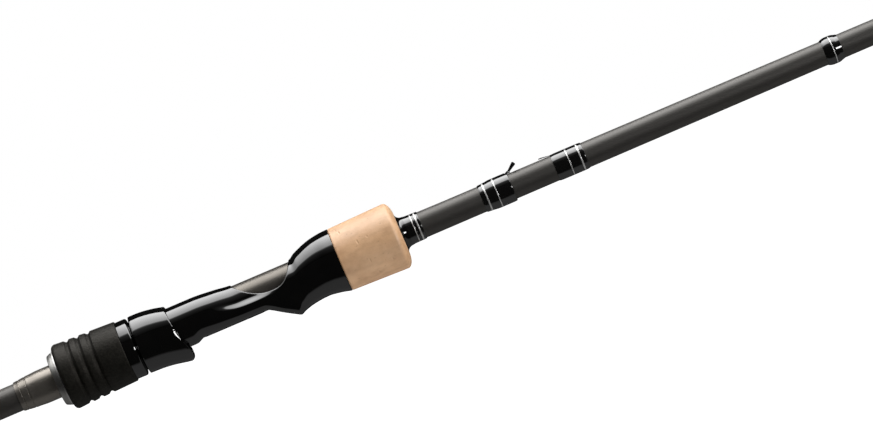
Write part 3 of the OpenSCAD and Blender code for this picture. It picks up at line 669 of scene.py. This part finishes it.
def seat_body(material):
    """Sculpted body with its window and the fixed hood's pocket."""
    start, end, spare, step = 32.0, 123.4, 1.1, 0.5
    body = loft("seat_body", [seat_section(s, MELT) for s in np.arange(start, end + spare, step)])
    x = SEAT_X
    above, half = 20, POCKET_HALF
    mouth, lip = MOUTH
    pocket_end = 112
    edge = [(x + s, window_edge(s)) for s in np.linspace(WINDOW[0], WINDOW[2], 40)]
    tools = [
        turned("bore", [(x + start - 1, 0), (x + start - 1, 6.65), (x + end + 3, 6.65), (x + end + 3, 0)],
               None),
        side_prism("window", [(x + WINDOW[0], above)] + edge + [(x + WINDOW[2], above)], 30),
        box_piece("channel", (x + start - 1, -3, -above), (x + 62, 3, -BED)),
        box_piece("mouth", (x + mouth - 1.7, -half, -above), (x + lip, half, -BED)),
    ]
    pocket = turned("pocket", [(x + lip - 1, 0), (x + lip - 1, 12.7), (x + lip, 12.7),
                               (x + pocket_end, 10), (x + pocket_end, 0)], None)
    combine(pocket, box_piece("pocket_side", (x + mouth, -half, -above), (x + 130, half, -BED)),
            "INTERSECT")
    inlay = turned("inlay_room", [(x + 77, 0), (x + 77, 7.4), (x + 106.5, 7.4), (x + 106.5, 0)], None)
    combine(inlay, box_piece("inlay_side", (x + 70, -20, -1.2), (x + 110, 20, 20)), "INTERSECT")
    for tool in tools + [pocket, inlay]:
        combine(body, tool, "DIFFERENCE")
    moulded(body, material, smoothing=12)
    combine(body, box_piece("front_face", (x + end, -30, -30), (x + end + 10, 30, 30)), "DIFFERENCE")
    body.data.set_sharp_from_angle(angle=math.radians(60))
    place(body, "rod", "gloss_black", "seat_body")


def window_inlay(material):
    """Gunmetal half tube behind the window."""
    box_low, box_high = low("window_inlay"), high("window_inlay")
    r = box_high.z
    dip = math.degrees(math.asin(-box_low.z / r))
    outline = [(box_low.x, 6.66), (box_low.x, r - 0.02), (box_high.x, r - 0.02), (box_high.x, 6.66)]
    inlay = turned("window_inlay", outline, material, sides=96, sweep=180 + 2 * dip, start=-dip)
    place(inlay, "rod", "gunmetal", "window_inlay")


def rim_flat(x, side):
    """Cutter for the small flat on the hood's front rim, on one side."""
    depth, half_width = 0.45, 11.4
    turn = math.radians(22)
    section = [(0, -4.9), (0, 0.1), (20, 20.1), (20, -24.9)]
    cutter = loft("flat", [[(along, y, z) for y, z in section] for along in (-10, 10)])
    corner = Vector((x, half_width, 0)) - Vector((math.sin(turn), math.cos(turn), 0)) * depth
    cutter.data.transform(Matrix.Rotation(-turn, 4, "Z"))
    cutter.data.transform(Matrix.Translation(corner * MM))
    if side < 0:
        cutter.data.transform(Matrix.Scale(-1, 4, (0, 1, 0)))
        cutter.data.flip_normals()
    return cutter


def hood_shell(material):
    """Movable hood with the neck that the lock nut holds."""
    top = curve_through([(36, 12.2), (39, 12.2), (42, 12.05), (44, 11.8), (46, 11.5), (48, 11.1),
                         (50, 10.6), (54.8, 9.7)])
    bottom = curve_through([(36, -11.9), (42, -12.1), (44, -12.3), (46, -12.55), (48, -12.9),
                            (52, -13.7), (54.8, -14.1)])
    half = curve_through([(36, 12.1), (46, 11.6), (54.8, 11.2)])
    x = SEAT_X
    rings = []
    for s in np.linspace(36, 55, 60):
        ring = []
        for j in range(SEAT_SIDES):
            a = 2 * math.pi * (j + 0.5) / SEAT_SIDES
            ring.append((x + s, (half(s) + MELT) * math.cos(a),
                         ((top(s) if math.sin(a) > 0 else -bottom(s)) + MELT) * math.sin(a)))
        rings.append(ring)
    hood = loft("hood_shell", rings)
    section = [(y, z) for _, y, z in seat_section(40, 0.3)]
    cavity = loft("cavity", [[(x + s, y, z) for y, z in section] for s in (34, 58)])
    room = turned("room", [(x + 40, 0), (x + 40, 9.4), (x + 54.8, 12.7), (x + 56, 12.7), (x + 56, 0)],
                  None)
    combine(room, box_piece("room_side", (x + 40, -POCKET_HALF, -20), (x + 60, POCKET_HALF, -BED)),
            "INTERSECT")
    rim = [(50.9, 14), (51.3, 9.8), (51.7, 4), (52.4, 0), (53.2, -4.3), (54.1, -7.2), (55, -9.6),
           (55, -12.6), (54.4, -13.6), (53.2, -14.3), (53.2, -15)]
    rim = rounded([(x + s, z) for s, z in rim], 1.2)
    front = side_prism("front", [(x + 60, 14)] + rim + [(x + 60, -15)], 30)
    flats = [rim_flat(x + 52.65, side) for side in (-1, 1)]
    for tool in (cavity, room, front, *flats):
        combine(hood, tool, "DIFFERENCE")
    neck = turned("neck", [(x + 27, 9.65), (x + 27, 10.85), (x + 28.6, 10.85), (x + 28.6, 10.2),
                           (x + 36.6, 10.2), (x + 36.6, 9.65)], None)
    combine(hood, neck, "UNION")
    moulded(hood, material, smoothing=26)
    place(hood, "hood", "gloss_black", "hood_shell")


def lock_nut(black, foam_material, metal, highlight_edge_metal):
    """Core with its gloss collar, foam cover with three grooves, and the rear ring, whose front band is a
    lighter copy of the ring metal: a painted highlight line along the foam.
    """
    x = SEAT_X
    foam_start, foam_end = low("nut_foam").x - x, high("nut_foam").x - x
    collar_r, nut_end = high("nut_core").z, high("nut_core").x - x

    def foam_r(s):
        return 13.75 - 0.035 * (s - foam_start)

    bore_r, edge, front_edge = 11.62, 1.8, 0.5
    floor_half, shoulder, wall_depth, floor_dip = 0.3375, 1.3, 0.68, 0.17
    outline = [(foam_start, bore_r)] + arc(foam_start + edge, foam_r(edge) - edge, edge, edge, 180, 90)
    for g in (9.8, 14.2, 18.8):
        outer, inner = foam_r(g), foam_r(g) - wall_depth
        outline += ease(g - shoulder, outer, g - floor_half, inner, 8)
        outline += arc(g, inner, floor_half, floor_dip, 180, 360, 6)
        outline += ease(g + floor_half, inner, g + shoulder, outer, 8)
    outline += arc(foam_end - front_edge, foam_r(foam_end) - front_edge, front_edge, front_edge, 90, 0, 6)
    outline += [(foam_end, bore_r)]
    cover = turned("nut_foam", [(x + s, r) for s, r in outline], foam_material, sides=192, sharp_deg=60)
    place(cover, "nut", "foam", "nut_foam")

    fillet = 0.9
    core_outline = rounded([(2.9, 8.4), (2.9, 11.6), (30.4, 11.6), (30.4, collar_r - 0.05),
                            (nut_end - 2, collar_r)], 0.3)
    core_outline += arc(nut_end - fillet, collar_r - fillet, fillet, fillet, 90, 0, 14)
    core_outline += [(nut_end, 10.5), (21, 10.5), (21, 8.4)]
    core = turned("nut_core", [(x + s, r) for s, r in core_outline], black, sides=160)
    place(core, "nut", "gloss_black", "nut_core")

    # The ring's front band (rim) gets a lighter copy of the ring metal, which paints the bright highlight
    # line along the foam.
    face = rounded([(2.2, 8.7), (0, 8.7), (0, 10.4), (1.2, 11.0), (2.2, 11.3)], 0.3)
    rim = rounded([(2.2, 9), (2.2, 11.4), (2.5, 11.5), (2.9, 11.5), (2.9, 9)], 0.1)
    for name, ring_outline, look in (("nut_ring", face, metal), ("nut_ring_highlight_edge", rim, highlight_edge_metal)):
        ring = turned(name, [(x + s, r) for s, r in ring_outline], look, sides=160)
        place(ring, "nut", "gunmetal", "nut_ring")


def rear_sleeve(material):
    """Tapered gunmetal sleeve with two fine lines near its end."""
    start, end = low("rear_sleeve").x, high("rear_sleeve").x
    outline = rounded([(start, 6.0), (start, 6.14), (start + 1.7, 6.3)], 0.1)
    for g in (2.0, 4.8):
        r = 6.14 + 0.1 * g
        outline += [(start + g - 0.25, r), (start + g - 0.1, r - 0.15), (start + g + 0.1, r - 0.15),
                    (start + g + 0.25, r)]
    outline += ease(start + 5.4, 6.7, start + 11, 7) + [(end, 7)]
    sleeve = turned("rear_sleeve", on_blank(outline), material, sides=128)
    place(sleeve, "rod", "gunmetal", "rear_sleeve")


# ------------------------------------------------------------------ grips

def pitted(piece, seed, count, x_range, r_at):
    """Sinks a few small pits into a cork surface, at random places."""
    chooser = random.Random(seed)
    pits = []
    for _ in range(count):
        x, a = chooser.uniform(*x_range), chooser.uniform(0, 2 * math.pi)
        pits.append((x, a, chooser.uniform(0.35, 1.1), chooser.uniform(0.12, 0.4),
                     chooser.uniform(0.15, 0.4)))
    skin = 0.6
    for vertex in piece.data.vertices:
        x, y, z = vertex.co / MM
        r = math.hypot(y, z)
        if r < r_at(x) - skin:
            continue
        a = math.atan2(z, y)
        sink = 0.0
        for px, pa, length, width, depth in pits:
            da = (a - pa + math.pi) % (2 * math.pi) - math.pi
            d = math.hypot((x - px) / width, da * r / length)
            if d < 1:
                sink = max(sink, depth * (1 - d * d))
        if sink:
            vertex.co.y *= (r - sink) / r
            vertex.co.z *= (r - sink) / r


def foregrip(material):
    """Cork fore grip with a rounded nose."""
    start, end = low("foregrip").x, high("foregrip").x
    r_rear, r_front = 13.25, high("foregrip").z
    nose, nose_r = 2.8, 5.6
    body_points = 90

    def r_at(x):
        return r_rear + (r_front - r_rear) * (x - start) / (end - nose - start)

    outline = [(start, r_rear - 0.5), (start + 0.15, r_rear - 0.2), (start + 0.5, r_rear)]
    outline += [(x, r_at(x)) for x in np.linspace(start + 0.8, end - nose - 0.3, body_points)]
    outline += arc(end - nose, r_front - nose_r, nose, nose_r, 90, 0, 20)
    grip = turned("foregrip", on_blank(outline), material, sides=300, sharp_deg=50)
    pitted(grip, SEED, 34, (start + 1, end - 3), r_at)
    place(grip, "rod", "cork", "foregrip")


def rear_grip(material):
    """Cork rear grip: a swell at the butt, a straight middle and a slim neck."""
    start, end = low("rear_grip").x, high("rear_grip").x
    cap_r = high("butt_cap").z
    straight_r, nose = 13.0, 4
    first = [(start, cap_r - 0.9), (start + 0.3, cap_r - 0.5)]
    swell = ease(start + 5, cap_r - 0.5, 36, straight_r, 40)
    middle = [(x, straight_r) for x in np.linspace(37, 83, 90)]
    neck = ease(84, straight_r, end - nose, 10.6, 60)
    front = arc(end - nose, 8.4, nose, 2.2, 75, 0, 10)
    outline = first + swell + middle + neck + front
    grip = turned("rear_grip", on_blank(outline), material, sides=240, sharp_deg=50)
    radii = curve_through(swell[::8] + middle[::30] + neck[::12])
    pitted(grip, SEED + 1, 160, (start + 2, end - nose), radii)
    place(grip, "rod", "cork", "rear_grip")


def butt_end(foam_material, metal):
    """Foam butt cap and the metal ring in front of it."""
    cap_end, cap_r = high("butt_cap").x, high("butt_cap").z
    round_r = 3
    outline = [(0, 0.001), (0, cap_r - round_r)]
    outline += arc(round_r, cap_r - round_r, round_r, round_r, 180, 90, 16)
    outline += ease(round_r + 6, cap_r, cap_end, cap_r - 0.6) + [(cap_end, butt_radius(cap_end) + GLUE)]
    outline += [(BLANK_START, butt_radius(BLANK_START) + GLUE), (BLANK_START, 0.001)]
    cap = turned("butt_cap", outline, foam_material, sides=160, sharp_deg=50)
    place(cap, "rod", "foam", "butt_cap")
    ring_start, ring_end, r = low("butt_ring").x, high("butt_ring").x, high("butt_ring").z
    ring = turned("butt_ring", on_blank(rounded(
        [(ring_start, r - 1), (ring_start, r), (ring_end, r), (ring_end, r - 1)], 0.3)), metal, sides=160)
    place(ring, "rod", "gunmetal", "butt_ring")


def flare(node, rise, material):
    """Winding check with a hollow flare, wide at the grip; rise is its other end's height."""
    start, end, r_grip = low(node).x, high(node).x, high(node).z
    r_end = butt_radius(start) + rise
    length = end - start
    outline = [(start + length * (1 - math.cos(a)), r_end + (r_grip - r_end) * (1 - math.sin(a)))
               for a in np.linspace(0, math.pi / 2, 16)]
    check = turned(node, on_blank(outline), material, sides=128)
    place(check, "rod", "gloss_black", node)


# ------------------------------------------------------------------ thread wraps and trim

def wrapped(name, node, profile, bands, look, trim, cutter=None):
    """Epoxied winding from (x, height above the blank) points, with thin bands at (x, width)."""
    height = curve_through(profile)
    x0, x1 = profile[0][0], profile[-1][0]
    outline = [(x, butt_radius(x) + height(x)) for x in np.linspace(x0, x1, int((x1 - x0) / 0.12) + 2)]
    piece = turned(name, on_blank(outline), look, sides=96, sharp_deg=45)
    if cutter:
        combine(piece, cutter, "DIFFERENCE")
        piece.data.set_sharp_from_angle(angle=math.radians(45))
    place(piece, "rod", "gloss_black", node)
    for i, (middle, width) in enumerate(bands):
        edges = np.linspace(middle - width / 2, middle + width / 2, 5)
        rise = (0, 0.03, 0.04, 0.03, 0)
        top = [(x, butt_radius(x) + height(x) + r) for x, r in zip(edges, rise)]
        bottom = [(x, r - 0.1) for x, r in (top[-1], top[0])]
        ring = turned(f"{name}_band_{i + 1}", top + bottom, trim, sides=96)
        place(ring, "rod", "silver_trim", "trim_bands")


def windings(look, trim):
    """All the wraps of the butt section, by the places of their CAD nodes."""
    x = low("rear_wrap").x
    wrapped("rear_wrap", "rear_wrap",
            [(x, 0.45), (x + 1, 0.46), (x + 7.2, 0.42), (x + 8.3, 0.3), (x + 9, 0.1)],
            [(x + 3, 0.35), (x + 5, 0.6)], look, trim)
    x = low("grip_wrap").x
    wrapped("grip_wrap", "grip_wrap",
            [(x, 0.6), (x + 1, 0.44), (x + 2.5, 0.38), (x + 5, 0.33), (x + 6.05, 0.26), (x + 6.2, 0.06)],
            [(x + 3, 0.35), (x + 4.8, 0.6)], look, trim)
    x = low("keeper_wraps").x
    hinge_x = low("keeper_pin").x + 0.3
    notch = box_piece("notch", (hinge_x - 1.8, -1.6, 0), (hinge_x + 2.2, 1.6, 10))
    wrapped("keeper_wrap", "keeper_wraps",
            [(x, 0.12), (x + 0.5, 0.30), (x + 2.5, 0.44), (x + 5.5, 0.76), (x + 11, 0.78),
             (x + 13.0, 0.70), (x + 13.2, 0.38)],
            [(x + 2.2, 0.6), (x + 6.6, 0.4)], look, trim, notch)
    x = high("keeper_wraps").x
    wrapped("tab_wrap", "keeper_wraps",
            [(x - 13.2, 0.1), (x - 12.6, 0.22), (x - 11.5, 0.30), (x - 3, 0.32), (x - 0.15, 0.2),
             (x, 0.06)],
            [(x - 6.9, 0.35), (x - 2.1, 0.6)], look, trim)
    x = low("decor_wrap").x
    wrapped("decor_wrap", "decor_wrap",
            [(x, 0.15), (x + 0.8, 0.5), (x + 2.4, 0.79), (x + 4.4, 0.78), (x + 5.3, 0.66), (x + 6.3, 0.34),
             (x + 7.2, 0.1)],
            [(x + 3.8, 0.35)], look, trim)
    x = low("ferrule_wrap").x
    wrapped("ferrule_wrap", "ferrule_wrap",
            [(x, 0.1), (x + 1.5, 0.36), (x + 3, 0.5), (x + 24.8, 0.55), (x + 25.7, 0.45), (x + 26, 0.25)],
            [(x + 6, 0.8), (x + 10, 0.8)], look, trim)


# ------------------------------------------------------------------ assembly

def dress_nodes(by_slot, wrap_look, tab_look):
    """Materials on every CAD node, and small bevels on the metal ones."""
    slots = {s["node"]: s["material_slot"] for s in frame["record"]["subparts"]}
    for name, node in frame["nodes"].items():
        look = wrap_look if name.endswith(("wrap", "wraps")) else by_slot[slots[name]]
        if name == "keeper_tab":
            look = tab_look
        node.data.materials.clear()
        node.data.materials.append(look)
        for face in node.data.polygons:
            face.use_smooth = True
        node.data.set_sharp_from_angle(angle=math.radians(30))
        if name.endswith(("_frame", "_ring")) or name.startswith("keeper_"):
            bevel = node.modifiers.new("worn_edges", "BEVEL")
            bevel.width = 0.1 * MM
            bevel.segments = 2
            bevel.limit_method = "ANGLE"
            bevel.angle_limit = math.radians(40)


def main():
    """Stage, materials and pieces."""
    add_camera()
    add_world()
    add_lights()
    add_floor()
    black, wrap_gloss, foam_look = gloss_black(), thread_gloss(), foam()
    cork_look, satin, grey_metal = cork(), blank_finish(), gunmetal("gunmetal", 0.9, 0.35)
    steel = bright_metal("guide_steel", (0.62, 0.61, 0.60), 0.16)
    thread_look, ring_look, hook_look = silver_thread(), ceramic(), black_metal()
    dress_nodes({"foam": foam_look, "gunmetal": grey_metal, "cork": cork_look, "gloss_black": black,
                 "black_metal": hook_look, "blank": satin, "silver_trim": thread_look,
                 "guide_steel": steel, "ceramic": ring_look}, wrap_gloss, satin)
    seat_body(black)
    window_inlay(grey_metal)
    hood_shell(black)
    lock_nut(black, foam_look, bright_metal("satin_ring", (0.58, 0.575, 0.55), 0.40),
             # Lighter copy of the ring metal for the ring's front band: a painted highlight.
             bright_metal("ring_highlight_edge", (0.85, 0.84, 0.82), 0.45))
    rear_sleeve(gunmetal("satin_gunmetal", 1.6, 0.33))
    foregrip(cork_look)
    rear_grip(cork_look)
    butt_end(foam_look, grey_metal)
    windings(wrap_gloss, thread_look)
    flare("front_check", 0.6, black)
    flare("rear_check", 0.5, black)


main()
